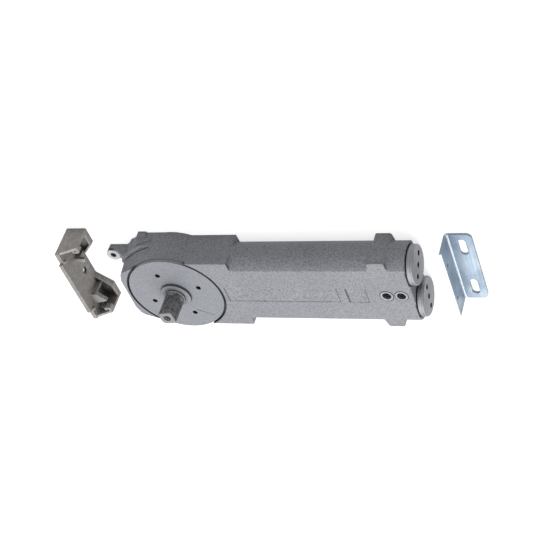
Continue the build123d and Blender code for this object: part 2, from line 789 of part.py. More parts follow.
def bracket_tongue():
    """Slanting tongue on a rib, and the ledge beside it, at the -Y end of the cast bracket."""
    inner_back = bracket_back + bracket_wall
    front_y = bracket_tongue_front
    tip = bracket_back + bracket_tongue_reach
    outline = [(inner_back - 1, front_y), (inner_back + bracket_tongue_step, front_y)]
    outline += [(tip, front_y - bracket_tongue_drop)]
    outline += [(tip - bracket_tongue_tip, front_y - (bracket_tongue_drop + bracket_tongue_back) / 2)]
    outline += [(inner_back - 1, front_y - bracket_tongue_back)]
    tongue = prism(outline, bracket_tongue_top - bracket_tongue_thickness, bracket_tongue_top)
    rib_end = bracket_back + bracket_rib_reach
    rib_low = front_y - bracket_rib_thickness
    tongue += block(inner_back - 1, rib_end, rib_low, front_y, 0, bracket_tongue_top - 1)
    wall_inside = bracket_across(-1, bracket_half_length - bracket_end_wall)
    ledge_high = wall_inside + bracket_ledge_depth
    ledge_end = bracket_front(-1) - 2
    ledge_heights = (bracket_ledge_bottom, bracket_ledge_top)
    return tongue + block(inner_back - 1, ledge_end, wall_inside - 0.5, ledge_high, *ledge_heights)


def cast_bracket():
    """Cast bracket that stands beside the head of the closer."""
    low_y = bracket_centre_y - bracket_half_length
    high_y = bracket_centre_y + bracket_half_length
    inner_back = bracket_back + bracket_wall
    casting = block(bracket_back, inner_back, low_y, high_y, 0, bracket_low_top)
    raised_low = bracket_centre_y - bracket_raised_half
    raised_high = bracket_centre_y + bracket_raised_half
    casting += block(bracket_back, inner_back, raised_low, raised_high, bracket_low_top - 1, bracket_height)
    for side in (-1, 1):
        casting += bracket_end(side)
    casting += bracket_shelf() + bracket_tongue()
    sink_start = inner_back - bracket_sink_depth
    hole_y = bracket_centre_y
    casting -= round_x(bracket_hole_radius, bracket_back - 1, inner_back + 1, hole_y, bracket_hole_height)
    sink = Cone(bracket_hole_radius, bracket_sink_radius, bracket_sink_depth)
    casting -= Pos(sink_start + bracket_sink_depth / 2, hole_y, bracket_hole_height) * Rot(0, 90, 0) * sink
    return casting


def pieces():
    """Every node name with its shape."""
    return {
        "housing": housing(),
        "chamber_cover": chamber_cover(),
        "cover_o_ring": cover_o_ring(),
        "spindle": spindle(),
        "thrust_washer": thrust_washer(),
        "lower_bush": lower_bush(),
        "upper_bush": upper_bush(),
        "spindle_seal": spindle_seal(),
        "rack_piston_a": rack_piston(1),
        "rack_piston_b": rack_piston(-1),
        "piston_ring_a": piston_ring(1),
        "piston_ring_b": piston_ring(-1),
        "check_ball_a": check_ball(1),
        "check_ball_b": check_ball(-1),
        "check_retainer_a": check_retainer(1),
        "check_retainer_b": check_retainer(-1),
        "closing_spring_a": closing_spring(1),
        "closing_spring_b": closing_spring(-1),
        "spring_washers": spring_washers(),
        "end_cap_a": end_cap(1, cap_hole_angles[0]),
        "end_cap_b": end_cap(-1, cap_hole_angles[1]),
        "cap_o_rings": cap_o_rings(),
        "closing_valve_screw": valve_screw(valve_positions[0]),
        "latching_valve_screw": valve_screw(valve_positions[1]),
        "closing_valve_o_ring": valve_o_ring(valve_positions[0]),
        "latching_valve_o_ring": valve_o_ring(valve_positions[1]),
        "valve_collars": valve_collars(),
        "passage_plug": passage_plug(),
        "cast_bracket": cast_bracket(),
        "angle_bracket": angle_bracket(),
    }


os.makedirs("parts", exist_ok=True)
for name, shape in pieces().items():
    export_step(shape, f"parts/{name}.step")
    print(name, round(shape.volume, 1), len(shape.solids()))
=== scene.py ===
"""Looks of the overhead door closer: finishes, small new forms, floor, light and camera."""

import logging
from dataclasses import dataclass
from enum import Enum

import bpy
import numpy as np
from mathutils import Matrix, Vector


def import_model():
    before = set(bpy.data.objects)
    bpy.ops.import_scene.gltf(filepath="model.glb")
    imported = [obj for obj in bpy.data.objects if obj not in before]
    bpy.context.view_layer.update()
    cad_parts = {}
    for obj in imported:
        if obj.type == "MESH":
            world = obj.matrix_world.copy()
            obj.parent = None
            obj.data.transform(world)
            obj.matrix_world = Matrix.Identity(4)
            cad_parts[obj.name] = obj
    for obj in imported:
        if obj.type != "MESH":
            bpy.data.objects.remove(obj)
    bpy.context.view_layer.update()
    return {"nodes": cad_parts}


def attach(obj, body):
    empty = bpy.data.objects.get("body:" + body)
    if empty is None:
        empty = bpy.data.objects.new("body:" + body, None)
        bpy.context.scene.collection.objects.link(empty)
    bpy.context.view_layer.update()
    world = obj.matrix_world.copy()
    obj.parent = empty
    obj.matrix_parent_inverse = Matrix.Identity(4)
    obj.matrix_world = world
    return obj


log = logging.getLogger("door_closer")
MM = 0.001
FLOAT = "NodeSocketFloat"
VECTOR = "NodeSocketVector"
Colour = tuple[float, float, float]
Place = tuple[float, float, float]
Path = tuple[np.ndarray, np.ndarray, np.ndarray]
Socket = bpy.types.NodeSocket

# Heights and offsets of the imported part, in millimetres.
FACE = 34.5
BORE_OFFSET = 20.45
BORE_HEIGHT = 17.25

# Noise values between which each pattern rises from 0 to 1.
GRAIN_BAND = (0.38, 0.62)
PIT_BAND = (0.30, 0.40)
LINE_BAND = (0.35, 0.65)
CLOUD_BAND = (0.36, 0.66)
BREAK_BAND = (0.32, 0.58)
TURN_BAND = (0.01, 0.16)

# Widths over which zones fade, in metres, and samples of the two shading nodes that look about.
RING_FADE = 0.00015
SLAB_FADE = 0.0003
JOURNAL_FADE = 0.0005
BEVEL_SAMPLES = 6
HOLLOW_SAMPLES = 8

# Noise waves a metre of tool lines: round a turned piece, and along or across straight lines.
TURNED_STRETCH = (2600.0, 1500.0, 1.0)
ALONG_STRETCH = 60.0
ACROSS_STRETCH = 2400.0

# Sockets of a Mix node for colours (its names repeat): factor, first and second colour, result.
MIX_SLOTS = (0, 6, 7)
MIX_RESULT = 2
WHITE = (1.0, 1.0, 1.0, 1.0)

# New pieces: how far they sink in, in millimetres, and a sharp edge's angle, in radians.
SINK = 0.05
SHARP_ANGLE = 0.7


class Marks(Enum):
    """Direction in which a tool or a rolling mill left its fine lines."""

    ALONG_X = "x"
    ALONG_Y = "y"
    ALONG_Z = "z"
    TURNED_CAPS = "caps"
    TURNED_SPINDLE = "spindle"


class Graph:
    """Helper that adds and joins nodes in one tree."""

    def __init__(self, tree: bpy.types.NodeTree) -> None:
        """Keep the tree to work in."""
        self.tree = tree

    def node(self, kind: str, **settings: object) -> bpy.types.Node:
        """Add a node.

        Args:
            kind: the node's type name.
            settings: attributes of the node, by name.

        Returns:
            The new node.
        """
        made = self.tree.nodes.new(kind)
        for name, value in settings.items():
            setattr(made, name, value)
        return made

    def link(self, source: Socket, target: Socket) -> None:
        """Join an output to an input."""
        self.tree.links.new(source, target)

    def feed(self, value: object, target: Socket) -> None:
        """Link a socket, or write a number or colour, into an input.

        Args:
            value: a socket, a number, or a colour of three parts.
            target: the input to fill.
        """
        if isinstance(value, bpy.types.NodeSocket):
            self.link(value, target)
        elif isinstance(value, tuple) and target.type == "RGBA":
            target.default_value = (*value, 1.0)
        else:
            target.default_value = value

    def math(self, operation: str, first: object, second: object = 0.0) -> Socket:
        """Add a Math node on two values or sockets.

        Args:
            operation: the node's operation.
            first: a number or an output socket.
            second: a number or an output socket.

        Returns:
            The node's output.
        """
        made = self.node("ShaderNodeMath", operation=operation)
        self.feed(first, made.inputs[0])
        self.feed(second, made.inputs[1])
        return made.outputs[0]

    def product(self, factors: list[Socket]) -> Socket:
        """Multiply all the factors with each other."""
        result = factors[0]
        for factor in factors[1:]:
            result = self.math("MULTIPLY", result, factor)
        return result

    def fade(self, value: Socket, low: object, high: object) -> Socket:
        """Rise smoothly from 0 at low to 1 at high.

        Args:
            value: the input value.
            low: number or socket where the result is 0.
            high: number or socket where the result is 1.

        Returns:
            The faded value.
        """
        made = self.node("ShaderNodeMapRange", interpolation_type="SMOOTHSTEP")
        self.link(value, made.inputs["Value"])
        self.feed(low, made.inputs["From Min"])
        self.feed(high, made.inputs["From Max"])
        return made.outputs["Result"]

    def blend(self, factor: object, first: object, second: object) -> Socket:
        """Mix two colours.

        Args:
            factor: a number or socket from 0 to 1.
            first: colour or socket at 0.
            second: colour or socket at 1.

        Returns:
            The mixed colour.
        """
        made = self.node("ShaderNodeMix", data_type="RGBA")
        for slot, value in zip(MIX_SLOTS, (factor, first, second)):
            self.feed(value, made.inputs[slot])
        return made.outputs[MIX_RESULT]

    def layer(self, tone: object, mask: Socket, share: float, colour: object) -> Socket:
        """Lay a colour over a tone where a mask says so, by a share of it."""
        return self.blend(self.math("MULTIPLY", mask, share), tone, colour)

    def noise(self, point: Socket, scale: object, detail: float = 3.0) -> Socket:
        """Add a noise.

        Args:
            point: where it is read.
            scale: a number or socket, in waves a metre.
            detail: how many finer layers it has.

        Returns:
            The noise's value, about 0 to 1.
        """
        made = self.node("ShaderNodeTexNoise")
        made.inputs["Detail"].default_value = detail
        self.link(point, made.inputs["Vector"])
        self.feed(scale, made.inputs["Scale"])
        return made.outputs["Fac"]

    def apart(self, point: Socket) -> tuple[Socket, Socket, Socket]:
        """Split a vector into x, y and z."""
        made = self.node("ShaderNodeSeparateXYZ")
        self.link(point, made.inputs[0])
        return made.outputs[0], made.outputs[1], made.outputs[2]

    def joined(self, x: object, y: object, z: object) -> Socket:
        """Join three values or sockets into a vector."""
        made = self.node("ShaderNodeCombineXYZ")
        for slot, value in enumerate((x, y, z)):
            self.feed(value, made.inputs[slot])
        return made.outputs[0]

    def use(self, group: bpy.types.NodeTree, **values: object) -> bpy.types.Node:
        """Place a shared group.

        Args:
            group: the group.
            values: its inputs by name, with _ for each space.

        Returns:
            The group's node.
        """
        made = self.node("ShaderNodeGroup", node_tree=group)
        for name, value in values.items():
            self.feed(value, made.inputs[name.replace("_", " ")])
        return made


Started = tuple[bpy.types.NodeTree, Graph, bpy.types.Node, bpy.types.Node]


class Effects:
    """Node groups that several finishes share."""

    def __init__(self) -> None:
        """Build every group once."""
        self.grain = self.build_grain()
        self.lines = self.build_lines()
        self.clouds = self.build_clouds()
        self.edges = self.build_edges()
        self.hollow_shade = self.build_hollow_shade()
        self.ring = self.build_ring()
        self.slab = self.build_slab()

    def start(self, name: str, inputs: dict[str, str], outputs: dict[str, str]) -> Started:
        """Make a group with named sockets, whose values come from each finish.

        Args:
            name: the group's name.
            inputs: socket name to its type.
            outputs: socket name to its type.

        Returns:
            The group, its graph helper, its entry and its exit.
        """
        group = bpy.data.node_groups.new(name, "ShaderNodeTree")
        for label, kind in inputs.items():
            group.interface.new_socket(name=label, in_out="INPUT", socket_type=kind)
        for label, kind in outputs.items():
            group.interface.new_socket(name=label, in_out="OUTPUT", socket_type=kind)
        graph = Graph(group)
        return group, graph, graph.node("NodeGroupInput"), graph.node("NodeGroupOutput")

    def build_grain(self) -> bpy.types.NodeTree:
        """Cast or painted grain: fine bumps on coarse ones, with small pits.

        Returns:
            Group with Height and Shade from 0 to 1 and Pits, 1 in a pit.
        """
        inputs = {"Point": VECTOR, "Fine": FLOAT, "Coarse": FLOAT, "Coarse Share": FLOAT}
        outputs = {"Height": FLOAT, "Shade": FLOAT, "Pits": FLOAT}
        group, graph, entry, leave = self.start("surface_grain", inputs, outputs)
        point = entry.outputs["Point"]
        fine = graph.noise(point, entry.outputs["Fine"], detail=4.0)
        coarse = graph.noise(point, entry.outputs["Coarse"])
        share = entry.outputs["Coarse Share"]
        rest = graph.math("SUBTRACT", 1.0, share)
        height = graph.math("MULTIPLY", fine, rest)
        height = graph.math("ADD", height, graph.math("MULTIPLY", coarse, share))
        graph.link(height, leave.inputs["Height"])
        graph.link(graph.fade(height, *GRAIN_BAND), leave.inputs["Shade"])
        graph.link(graph.math("SUBTRACT", 1.0, graph.fade(fine, *PIT_BAND)), leave.inputs["Pits"])
        return group

    def build_lines(self) -> bpy.types.NodeTree:
        """Fine tool lines: noise on a point that is stretched along one direction.

        Returns:
            Group with Height and Shade outputs.
        """
        inputs = {"Point": VECTOR, "Stretch": VECTOR}
        outputs = {"Height": FLOAT, "Shade": FLOAT}
        group, graph, entry, leave = self.start("tool_lines", inputs, outputs)
        scaled = graph.node("ShaderNodeVectorMath", operation="MULTIPLY")
        graph.link(entry.outputs["Point"], scaled.inputs[0])
        graph.link(entry.outputs["Stretch"], scaled.inputs[1])
        value = graph.noise(scaled.outputs[0], 1.0, detail=2.0)
        graph.link(value, leave.inputs["Height"])
        graph.link(graph.fade(value, *LINE_BAND), leave.inputs["Shade"])
        return group

    def build_clouds(self) -> bpy.types.NodeTree:
        """Broad uneven patches, such as oil, dust or an uneven bath of zinc.

        Returns:
            Group with a Mask output from 0 to 1.
        """
        inputs = {"Point": VECTOR, "Patch": FLOAT}
        group, graph, entry, leave = self.start("clouds", inputs, {"Mask": FLOAT})
        value = graph.noise(entry.outputs["Point"], entry.outputs["Patch"], detail=5.0)
        graph.link(graph.fade(value, *CLOUD_BAND), leave.inputs["Mask"])
        return group

    def build_edges(self) -> bpy.types.NodeTree:
        """Rounded edges: the normal turns over a radius; wear and painted highlight follow the
        turn.

        Returns:
            Group with the rounded Normal and a Wear And Highlight mask from 0 to 1.
        """
        inputs = {"Point": VECTOR, "Radius": FLOAT, "Break": FLOAT}
        outputs = {"Normal": VECTOR, "Wear And Highlight": FLOAT}
        group, graph, entry, leave = self.start("rounded_edges", inputs, outputs)
        round_edge = graph.node("ShaderNodeBevel", samples=BEVEL_SAMPLES)
        graph.link(entry.outputs["Radius"], round_edge.inputs["Radius"])
        plain = graph.node("ShaderNodeNewGeometry").outputs["Normal"]
        dot = graph.node("ShaderNodeVectorMath", operation="DOT_PRODUCT")
        graph.link(round_edge.outputs["Normal"], dot.inputs[0])
        graph.link(plain, dot.inputs[1])
        turned = graph.fade(graph.math("SUBTRACT", 1.0, dot.outputs["Value"]), *TURN_BAND)
        broken = graph.noise(entry.outputs["Point"], entry.outputs["Break"], detail=4.0)
        wear_and_highlight = graph.math("MULTIPLY", turned, graph.fade(broken, *BREAK_BAND))
        graph.link(round_edge.outputs["Normal"], leave.inputs["Normal"])
        graph.link(wear_and_highlight, leave.inputs["Wear And Highlight"])
        return group

    def build_ring(self) -> bpy.types.NodeTree:
        """Zone about an axis: a Mask, 1 where inner < radius < outer and above < along < below."""
        inputs = dict.fromkeys(("Radius", "Along", "Inner", "Outer", "Below", "Above"), FLOAT)
        group, graph, entry, leave = self.start("ring_zone", inputs, {"Mask": FLOAT})
        pairs = (("Radius", "Inner"), ("Outer", "Radius"), ("Below", "Along"), ("Along", "Above"))
        sides = []
        for first, second in pairs:
            over = graph.math("SUBTRACT", entry.outputs[first], entry.outputs[second])
            sides.append(graph.fade(over, 0.0, RING_FADE))
        graph.link(graph.product(sides), leave.inputs["Mask"])
        return group

    def build_slab(self) -> bpy.types.NodeTree:
        """Zone in a box: a Mask, 1 where |point - centre|, turned by the tilt, is below half."""
        inputs = {"Point": VECTOR, "Centre": VECTOR, "Half": VECTOR, "Tilt": FLOAT}
        group, graph, entry, leave = self.start("slab_zone", inputs, {"Mask": FLOAT})
        offset = graph.node("ShaderNodeVectorMath", operation="SUBTRACT")
        turned = graph.node("ShaderNodeVectorRotate", rotation_type="Y_AXIS")
        size = graph.node("ShaderNodeVectorMath", operation="ABSOLUTE")
        room = graph.node("ShaderNodeVectorMath", operation="SUBTRACT")
        graph.link(entry.outputs["Point"], offset.inputs[0])
        graph.link(entry.outputs["Centre"], offset.inputs[1])
        graph.link(offset.outputs[0], turned.inputs["Vector"])
        graph.link(entry.outputs["Tilt"], turned.inputs["Angle"])
        graph.link(turned.outputs[0], size.inputs[0])
        graph.link(entry.outputs["Half"], room.inputs[0])
        graph.link(size.outputs[0], room.inputs[1])
        sides = [graph.fade(part, 0.0, SLAB_FADE) for part in graph.apart(room.outputs[0])]
        graph.link(graph.product(sides), leave.inputs["Mask"])
        return group

    def build_hollow_shade(self) -> bpy.types.NodeTree:
        """Painted shade in grooves, holes and corners, from ambient occlusion.

        Returns:
            Group with a Mask, 0 in the open and 1 deep in a hollow.
        """
        inputs = {"Reach": FLOAT, "Start": FLOAT, "Full": FLOAT}
        group, graph, entry, leave = self.start("hollow_shade", inputs, {"Mask": FLOAT})
        sky = graph.node("ShaderNodeAmbientOcclusion", samples=HOLLOW_SAMPLES)
        graph.link(entry.outputs["Reach"], sky.inputs["Distance"])
        closed = graph.math("SUBTRACT", 1.0, sky.outputs["AO"])
        mask = graph.fade(closed, entry.outputs["Start"], entry.outputs["Full"])
        graph.link(mask, leave.inputs["Mask"])
        return group


@dataclass(frozen=True)
class Axis:
    """A line through a centre in millimetres; a mirrored one stands for a pair, at +Y and -Y."""

    direction: str
    centre: Place
    mirrored: bool = False

    def about(self, graph: Graph, point: Socket) -> tuple[Socket, Socket]:
        """Distance from the line, sqrt(across^2 + up^2), and the place along it, in metres."""
        place = dict(zip("xyz", graph.apart(point)))
        along = place[self.direction]
        if self.mirrored:
            place["y"] = graph.math("ABSOLUTE", place["y"])
        squares = []
        for letter, middle in zip("xyz", self.centre):
            if letter != self.direction:
                offset = graph.math("SUBTRACT", place[letter], middle * MM)
                squares.append(graph.math("MULTIPLY", offset, offset))
        return graph.math("SQRT", graph.math("ADD", *squares)), along


SPINDLE_AXIS = Axis("z", (0.0, 0.0, 0.0))
CAP_AXES = Axis("x", (0.0, BORE_OFFSET, BORE_HEIGHT), True)
BEND_LINE = Axis("y", (253.3, 0.0, 2.3))
LUG_AXIS = Axis("z", (-65.4, 22.7, 0.0))
BRACKET_HOLE_AXIS = Axis("x", (0.0, 6.0, 10.5))
# Near black laid by zones as painted shade where gaps, holes and recesses get little light.
SHADE_BLACK = (0.006, 0.006, 0.006)
PALE_METAL = (0.74, 0.75, 0.77)
PAST_ALL = 200.0


@dataclass(frozen=True)
class Ring:
    """A zone whose tone is laid over the finish, mostly painted shade, also a painted highlight and
    a machined face: two radii and two places along an axis, in millimetres.

    An inner radius below 0 takes in the axis itself.
    """

    inner: float
    outer: float
    below: float
    above: float = -PAST_ALL
    axis: Axis = SPINDLE_AXIS
    strength: float = 0.93
    colour: Colour = SHADE_BLACK

    def mask(self, graph: Graph, effects: Effects, point: Socket) -> Socket:
        """1 inside the ring, 0 outside, at a point on the piece."""
        radius, along = self.axis.about(graph, point)
        inside = graph.use(effects.ring, Radius=radius, Along=along, Inner=self.inner * MM,
                           Outer=self.outer * MM, Below=self.below * MM, Above=self.above * MM)
        return inside.outputs["Mask"]


@dataclass(frozen=True)
class Slab:
    """A box whose tone is laid over the finish, mostly painted shade, also painted highlights, in
    millimetres, turned about Y by a tilt in degrees.
    """

    centre: Place
    half: Place
    tilt: float = 0.0
    strength: float = 0.6
    colour: Colour = SHADE_BLACK

    def mask(self, graph: Graph, effects: Effects, point: Socket) -> Socket:
        """1 inside the box, 0 outside, at a point on the piece."""
        centre = tuple(value * MM for value in self.centre)
        half = tuple(value * MM for value in self.half)
        tilt = float(np.radians(-self.tilt))
        inside = graph.use(effects.slab, Point=point, Centre=centre, Half=half, Tilt=tilt)
        return inside.outputs["Mask"]


Zone = Ring | Slab


# In the finishes, depth, edge, reach, bare_and_highlight_above and ground_below are in millimetres, and fine,
# coarse, patch and wear_break are noise waves a metre. Shares go from 0 to 1.
@dataclass(frozen=True)
class Casting:
    """Painted or raw casting: grain, pits, tone patches, worn edges with a painted highlight, and
    painted shade in hollows.
    """

    name: str
    colour: Colour
    dark: Colour
    worn: Colour
    dirt_and_shade: Colour
    roughness: float
    fine: float = 1250.0
    coarse: float = 600.0
    coarse_share: float = 0.30
    clouding: float = 0.10
    depth: float = 0.05
    edge: float = 0.8
    wear_and_highlight: float = 0.5
    wear_break: float = 260.0
    reach: float = 4.0
    shade_share: float = 0.85
    shade_start: float = 0.35
    shade_full: float = 0.95
    metallic: float = 0.0
    patch: float = 24.0
    pitting: float = 0.35
    cloud_roughness: float = 0.08
    grain_roughness: float = 0.06
    zones: tuple[Zone, ...] = ()

    def build(self, effects: Effects) -> bpy.types.Material:
        """Build the material with the shared node groups."""
        material, graph, shader = start_material(self.name)
        point = object_point(graph)
        grain = graph.use(effects.grain, Point=point, Fine=self.fine, Coarse=self.coarse,
                          Coarse_Share=self.coarse_share)
        clouds = graph.use(effects.clouds, Point=point, Patch=self.patch)
        edges = graph.use(effects.edges, Point=point, Radius=self.edge * MM, Break=self.wear_break)
        hollow_shade = graph.use(effects.hollow_shade, Reach=self.reach * MM, Start=self.shade_start,
                            Full=self.shade_full)
        tone = graph.blend(grain.outputs["Shade"], self.dark, self.colour)
        tone = graph.layer(tone, clouds.outputs["Mask"], self.clouding, self.dark)
        tone = graph.layer(tone, grain.outputs["Pits"], self.pitting, self.dirt_and_shade)
        # Worn edges, also lightened as a painted highlight where the edge rounds.
        tone = graph.layer(tone, edges.outputs["Wear And Highlight"], self.wear_and_highlight, self.worn)
        # Painted shade darkens the hollows.
        tone = graph.layer(tone, hollow_shade.outputs["Mask"], self.shade_share, self.dirt_and_shade)
        tone = tint(graph, effects, point, self.zones, tone)
        graph.link(tone, shader.inputs["Base Color"])
        set_roughness(graph, shader, self.roughness, (clouds.outputs["Mask"], self.cloud_roughness),
                      (grain.outputs["Shade"], self.grain_roughness))
        shader.inputs["Metallic"].default_value = self.metallic
        add_bump(graph, shader, grain.outputs["Height"], self.depth, edges.outputs["Normal"])
        return material


@dataclass(frozen=True)
class Machined:
    """Turned, ground or rolled metal with fine lines, worn edges with a painted highlight, and
    painted shade in hollows.
    """

    name: str
    colour: Colour
    dark: Colour
    worn: Colour
    roughness: float
    marks: Marks
    metallic: float = 1.0
    depth: float = 0.02
    edge: float = 0.35
    patch: float = 60.0
    clouding: float = 0.35
    reach: float = 2.5
    shade_share: float = 0.8
    shade_start: float = 0.35
    shade_full: float = 0.95
    shade_tone: float = 0.12
    line_share: float = 0.5
    wear_and_highlight: float = 0.6
    wear_break: float = 600.0
    line_roughness: float = 0.10
    cloud_roughness: float = 0.06
    bare_and_highlight_above: float | None = None
    ground_below: float | None = None
    ground_share: float = 0.12
    zones: tuple[Zone, ...] = ()

    def lines(self, graph: Graph, effects: Effects, point: Socket) -> bpy.types.Node:
        """Place the tool lines: straight ones along an axis, or rings about a turning axis.

        Rings read the noise at (distance from the axis, place along it), so each is even all round.
        """
        if self.marks in (Marks.TURNED_CAPS, Marks.TURNED_SPINDLE):
            axis = CAP_AXES if self.marks is Marks.TURNED_CAPS else SPINDLE_AXIS
            radius, along = axis.about(graph, point)
            rings = graph.joined(radius, along, 0.0)
            return graph.use(effects.lines, Point=rings, Stretch=TURNED_STRETCH)
        stretch = tuple(ALONG_STRETCH if self.marks.value == axis else ACROSS_STRETCH
                        for axis in "xyz")
        return graph.use(effects.lines, Point=point, Stretch=stretch)

    def build(self, effects: Effects) -> bpy.types.Material:
        """Build the material with the shared node groups."""
        material, graph, shader = start_material(self.name)
        point = object_point(graph)
        lines = self.lines(graph, effects, point)
        clouds = graph.use(effects.clouds, Point=point, Patch=self.patch)
        edges = graph.use(effects.edges, Point=point, Radius=self.edge * MM, Break=self.wear_break)
        hollow_shade = graph.use(effects.hollow_shade, Reach=self.reach * MM, Start=self.shade_start,
                            Full=self.shade_full)
        tone = graph.layer(self.colour, lines.outputs["Shade"], self.line_share, self.dark)
        tone = graph.layer(tone, clouds.outputs["Mask"], self.clouding, self.dark)
        height = graph.apart(point)[2]
        # Bare metal above a height; on the zinc sheet this lightening is a painted highlight on the
        # web's top edge.
        if self.bare_and_highlight_above is not None:
            bare = graph.fade(height, self.bare_and_highlight_above * MM - RING_FADE, self.bare_and_highlight_above * MM)
            tone = graph.blend(bare, tone, self.worn)
        if self.ground_below is not None:
            ground = self.ground_below * MM
            journal = graph.fade(height, ground + JOURNAL_FADE, ground)
            tone = graph.layer(tone, journal, self.ground_share, self.worn)
        # Worn edges, also lightened as a painted highlight where the edge rounds.
        tone = graph.layer(tone, edges.outputs["Wear And Highlight"], self.wear_and_highlight, self.worn)
        # Painted shade darkens the hollows.
        shade_colour = tuple(self.shade_tone * part for part in self.dark)
        tone = graph.layer(tone, hollow_shade.outputs["Mask"], self.shade_share, shade_colour)
        tone = tint(graph, effects, point, self.zones, tone)
        graph.link(tone, shader.inputs["Base Color"])
        set_roughness(graph, shader, self.roughness, (lines.outputs["Shade"], self.line_roughness),
                      (clouds.outputs["Mask"], self.cloud_roughness))
        shader.inputs["Metallic"].default_value = self.metallic
        add_bump(graph, shader, lines.outputs["Height"], self.depth, edges.outputs["Normal"])
        return material


@dataclass(frozen=True)
class Moulded:
    """Rubber or plastic with a fine moulded grain."""

    name: str
    colour: Colour
    light: Colour
    roughness: float
    fine: float = 2500.0
    coarse: float = 300.0
    coarse_share: float = 0.4
    tone_share: float = 0.4
    edge: float = 0.25
    wear_and_highlight: float = 0.4
    wear_break: float = 900.0
    grain_roughness: float = 0.1
    depth: float = 0.05

    def build(self, effects: Effects) -> bpy.types.Material:
        """Build the material with the shared node groups."""
        material, graph, shader = start_material(self.name)
        point = object_point(graph)
        grain = graph.use(effects.grain, Point=point, Fine=self.fine, Coarse=self.coarse,
                          Coarse_Share=self.coarse_share)
        edges = graph.use(effects.edges, Point=point, Radius=self.edge * MM, Break=self.wear_break)
        tone = graph.layer(self.colour, grain.outputs["Shade"], self.tone_share, self.light)
        # Worn edges, also lightened as a painted highlight where the edge rounds.
        tone = graph.layer(tone, edges.outputs["Wear And Highlight"], self.wear_and_highlight, self.light)
        graph.link(tone, shader.inputs["Base Color"])
        set_roughness(graph, shader, self.roughness, (grain.outputs["Shade"], self.grain_roughness))
        add_bump(graph, shader, grain.outputs["Height"], self.depth, edges.outputs["Normal"])
        return material


Finish = Casting | Machined | Moulded


def tint(graph: Graph, effects: Effects, point: Socket, zones: tuple[Zone, ...],
         tone: Socket) -> Socket:
    """Lay each zone's tone over the finish: mostly painted shade, such as the near black of a
    recess that sees no light, also painted highlights and machined faces.
    """
    for zone in zones:
        tone = graph.layer(tone, zone.mask(graph, effects, point), zone.strength, zone.colour)
    return tone


def start_material(name: str) -> tuple[bpy.types.Material, Graph, bpy.types.Node]:
    """Start a node material: itself, its graph helper and its Principled shader."""
    material = bpy.data.materials.new(name)
    material.use_nodes = True
    return material, Graph(material.node_tree), material.node_tree.nodes["Principled BSDF"]


def object_point(graph: Graph) -> Socket:
    """Read the point on the piece, in metres."""
    return graph.node("ShaderNodeTexCoord").outputs["Object"]


def set_roughness(graph: Graph, shader: bpy.types.Node, base: float,
                  *parts: tuple[Socket, float]) -> None:
    """Feed the shader's roughness: the sum of each mask times its share, plus a base."""
    shares = [graph.math("MULTIPLY", mask, share) for mask, share in parts]
    total = shares[0]
    for share in (*shares[1:], base):
        total = graph.math("ADD", total, share)
    graph.link(total, shader.inputs["Roughness"])


def add_bump(graph: Graph, shader: bpy.types.Node, height: Socket, depth: float,
             normal: Socket) -> None:
    """Feed a height through a Bump node into the shader's normal.

    Args:
        graph: the material's graph helper.
        shader: the Principled shader.
        height: the height socket, about 0 to 1.
        depth: the relief in millimetres.
        normal: the normal that the relief stands on.
    """
    bump = graph.node("ShaderNodeBump")
    bump.inputs["Strength"].default_value = 1.0
    bump.inputs["Distance"].default_value = depth * MM
    graph.link(height, bump.inputs["Height"])
    graph.link(normal, bump.inputs["Normal"])
    graph.link(bump.outputs["Normal"], shader.inputs["Normal"])


@dataclass
class Piece:
    """A new piece: points on a closed grid, the body it rides on, its slot (not used) and its
    finish.
    """

    name: str
    points: np.ndarray
    body: str
    slot: str
    finish: Finish
    round_path: bool = True

    def faces(self) -> list[tuple[int, ...]]:
        """List the faces: a quad between neighbours on the grid, and both ends of an open path.

        Returns:
            Vertex numbers of each face, outward.
        """
        rows, columns = self.points.shape[:2]
        row = np.arange(rows if self.round_path else rows - 1)
        a, b = np.meshgrid(row, np.arange(columns), indexing="ij")
        a_next = (a + 1) % rows
        b_next = (b + 1) % columns
        this, following = a * columns, a_next * columns
        corners = (this + b, this + b_next, following + b_next, following + b)
        quads = np.stack(corners, axis=-1).reshape(-1, 4)
        faces = [tuple(quad) for quad in quads.tolist()]
        if not self.round_path:
            faces.append(tuple(range(columns - 1, -1, -1)))
            faces.append(tuple(range((rows - 1) * columns, rows * columns)))
        return faces

    def make(self, material: bpy.types.Material) -> bpy.types.Object:
        """Make the object, smooth-shaded where it is flat enough."""
        mesh = bpy.data.meshes.new(self.name)
        mesh.from_pydata((self.points.reshape(-1, 3) * MM).tolist(), [], self.faces())
        if signed_volume(mesh) < 0.0:
            mesh.flip_normals()
        mesh.shade_smooth()
        mesh.set_sharp_from_angle(angle=SHARP_ANGLE)
        mesh.materials.append(material)
        item = new_item(self.name, mesh)
        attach(item, self.body)
        log.info("%s rides on %s, %d faces", self.name, self.body, len(mesh.polygons))
        return item


def new_item(name: str, data: bpy.types.ID) -> bpy.types.Object:
    """Put an object with its data into the scene."""
    item = bpy.data.objects.new(name, data)
    bpy.context.scene.collection.objects.link(item)
    return item


def signed_volume(mesh: bpy.types.Mesh) -> float:
    """Volume of a closed mesh in cubic metres: sum of a . (b x c) / 6, below 0 if inside out."""
    mesh.calc_loop_triangles()
    corners = np.empty(len(mesh.loop_triangles) * 3, dtype=np.int64)
    mesh.loop_triangles.foreach_get("vertices", corners)
    points = np.empty(len(mesh.vertices) * 3)
    mesh.vertices.foreach_get("co", points)
    a, b, c = np.moveaxis(points.reshape(-1, 3)[corners.reshape(-1, 3)], 1, 0)
    return float(np.einsum("ij,ij->i", a, np.cross(b, c)).sum() / 6.0)


